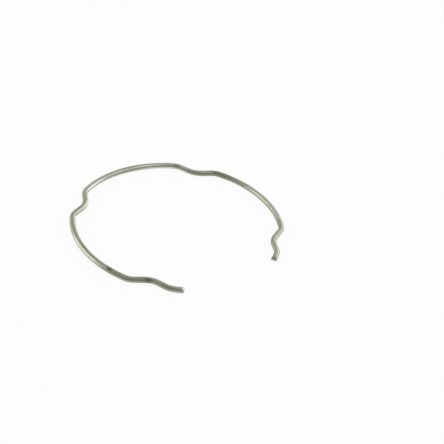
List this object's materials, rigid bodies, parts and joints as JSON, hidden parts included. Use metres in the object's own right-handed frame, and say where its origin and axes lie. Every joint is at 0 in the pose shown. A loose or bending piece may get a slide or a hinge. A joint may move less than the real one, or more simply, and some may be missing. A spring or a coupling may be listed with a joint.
{
  "type": "wire retaining clip",
  "caption": "Open spring-wire ring with inward detents and short turned tails, which holds a pipe in a quick-connect coupling.",
  "frame": {"origin": "centre of the ring, at half the wire's thickness", "axes": "+Z along the ring's axis, the mouth between the tails facing -Y, the clip mirrored about the YZ plane"},
  "size_m": [0.0736, 0.0685, 0.002],
  "materials": {
    "spring_wire": "drawn wire, satin"
  },
  "bodies": {
    "root": {"retaining_clip": "spring_wire"}
  },
  "joints": []
}
